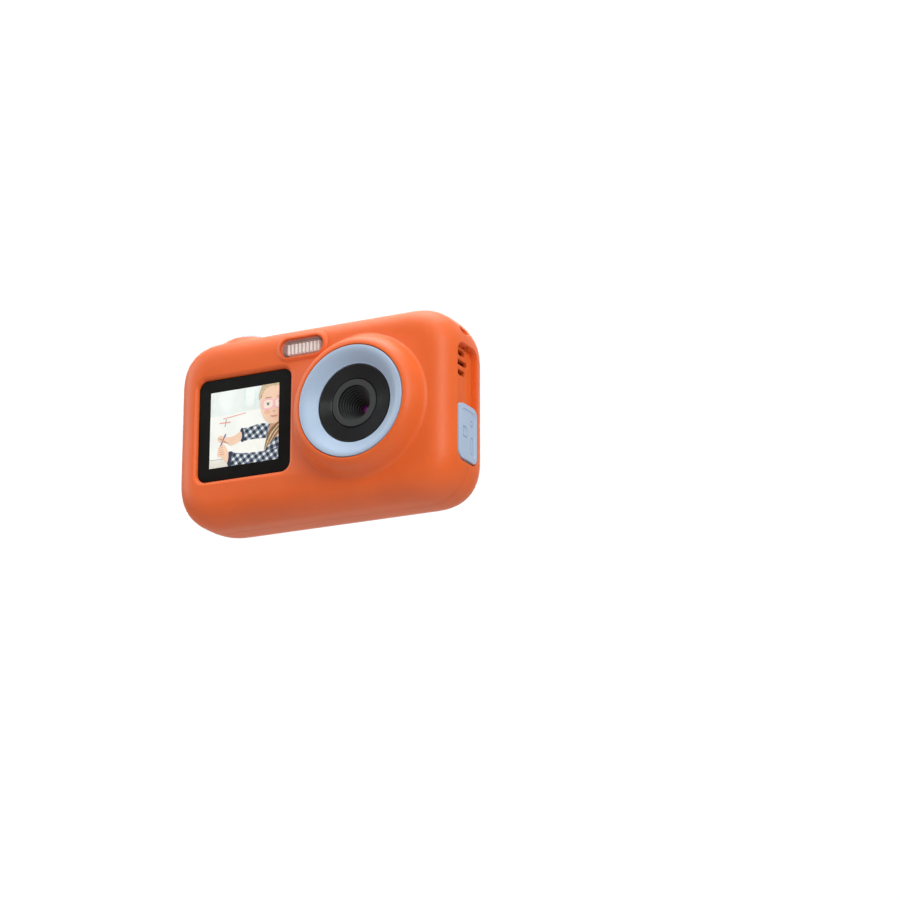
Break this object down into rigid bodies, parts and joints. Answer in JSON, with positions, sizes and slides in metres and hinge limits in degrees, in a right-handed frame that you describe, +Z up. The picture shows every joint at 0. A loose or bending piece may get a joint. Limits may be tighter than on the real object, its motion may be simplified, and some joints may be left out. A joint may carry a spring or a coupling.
{
  "type": "kids digital camera",
  "caption": "Pillow-shaped toy camera with a raised lens ring, a small front display, a large rear display, round keys, a direction pad and a port cover.",
  "frame": {"origin": "on the plane that the camera stands on, in the middle of its width and of its whole depth", "axes": "+X along the width, to the right as the lens side is seen; +Y from the lens side to the display side; +Z up"},
  "size_m": [0.094, 0.0333, 0.0618],
  "materials": {
    "shell_plastic": "soft matt orange",
    "trim_plastic": "satin light blue",
    "cover_rubber": "soft light blue",
    "lens_black": "black with fine turned grooves",
    "lens_grey": "dark grey, stepped",
    "screen_glass": "glossy with a black printed border",
    "lens_glass": "coated glass with a violet sheen",
    "flash_clear": "clear plastic window",
    "flash_white": "white ribbed diffuser",
    "display_panel": "display module with a thin metal frame",
    "circuit_board": "green solder mask",
    "black_parts": "matt black",
    "steel_parts": "plain bright steel",
    "led": "yellow phosphor",
    "cell_wrap": "silver pouch cell"
  },
  "bodies": {
    "root": {"battery": "cell_wrap", "board_screw_1": "steel_parts", "board_screw_2": "steel_parts", "board_screw_3": "steel_parts", "board_screw_4": "steel_parts", "board_screw_5": "steel_parts", "board_screw_6": "steel_parts", "camera_change_switch": "steel_parts", "card_socket": "steel_parts", "cover_anchor": "cover_rubber", "down_switch": "steel_parts", "flash_board": "circuit_board", "flash_diffuser": "flash_white", "flash_led": "led", "flash_window": "flash_clear", "front_display": "display_panel", "front_lens": "lens_glass", "front_screen_glass": "screen_glass", "front_shell": "shell_plastic", "image_sensor": "black_parts", "key_board": "circuit_board", "left_switch": "steel_parts", "lens_barrel": "black_parts", "lens_bezel": "lens_black", "lens_hood": "lens_grey", "lens_trim_ring": "trim_plastic", "light_switch": "steel_parts", "main_board": "circuit_board", "microphone": "steel_parts", "ok_switch": "steel_parts", "playback_switch": "steel_parts", "power_switch": "steel_parts", "processor": "black_parts", "rear_display": "display_panel", "rear_screen_glass": "screen_glass", "rear_shell": "shell_plastic", "reset_switch": "steel_parts", "right_switch": "steel_parts", "sensor_board": "circuit_board", "shutter_board": "circuit_board", "shutter_switch": "steel_parts", "side_panel": "shell_plastic", "speaker": "black_parts", "up_switch": "steel_parts", "usb_connector": "steel_parts"},
    "shutter": {"shutter_button": "trim_plastic"},
    "ok_key": {"ok_key": "trim_plastic"},
    "pad_gimbal": {"pad_pivot": "black_parts"},
    "pad": {"direction_pad": "trim_plastic"},
    "power_key": {"power_key": "trim_plastic"},
    "camera_change_key": {"camera_change_key": "trim_plastic"},
    "playback_key": {"playback_key": "trim_plastic"},
    "light_key": {"light_key": "trim_plastic"},
    "cover": {"port_cover": "cover_rubber"},
    "card": {"memory_card": "black_parts"}
  },
  "joints": [
    {"name": "shutter_press", "type": "slide", "parent": "root", "child": "shutter", "axis": [0, 0, -1], "range_m": [0, 0.001], "stiffness_N_per_m": 500, "springref_m": -0.0012},
    {"name": "power_press", "type": "slide", "parent": "root", "child": "power_key", "axis": [0, -1, 0], "range_m": [0, 0.0008], "stiffness_N_per_m": 400, "springref_m": -0.001},
    {"name": "camera_change_press", "type": "slide", "parent": "root", "child": "camera_change_key", "axis": [0, -1, 0], "range_m": [0, 0.0008], "stiffness_N_per_m": 400, "springref_m": -0.001},
    {"name": "playback_press", "type": "slide", "parent": "root", "child": "playback_key", "axis": [0, -1, 0], "range_m": [0, 0.0008], "stiffness_N_per_m": 400, "springref_m": -0.001},
    {"name": "light_press", "type": "slide", "parent": "root", "child": "light_key", "axis": [0, -1, 0], "range_m": [0, 0.0008], "stiffness_N_per_m": 400, "springref_m": -0.001},
    {"name": "ok_press", "type": "slide", "parent": "root", "child": "ok_key", "axis": [0, -1, 0], "range_m": [0, 0.0007], "stiffness_N_per_m": 400, "springref_m": -0.001},
    {"name": "pad_tilt_up_down", "type": "hinge", "parent": "root", "child": "pad_gimbal", "pos_m": [-0.02925, 0.0125, 0.02905], "axis": [1, 0, 0], "range_deg": [-2.5, 2.5], "stiffness_Nm_per_rad": 0.05},
    {"name": "pad_tilt_left_right", "type": "hinge", "parent": "pad_gimbal", "child": "pad", "pos_m": [-0.02925, 0.0125, 0.02905], "axis": [0, 0, 1], "range_deg": [-2.5, 2.5], "stiffness_Nm_per_rad": 0.05},
    {"name": "cover_hinge", "type": "hinge", "parent": "root", "child": "cover", "pos_m": [0.04675, 0.0025, 0.01175], "axis": [0, 1, 0], "range_deg": [0, 110]},
    {"name": "card_push", "type": "slide", "parent": "root", "child": "card", "axis": [-1, 0, 0], "range_m": [-0.0006, 0.0009]}
  ]
}
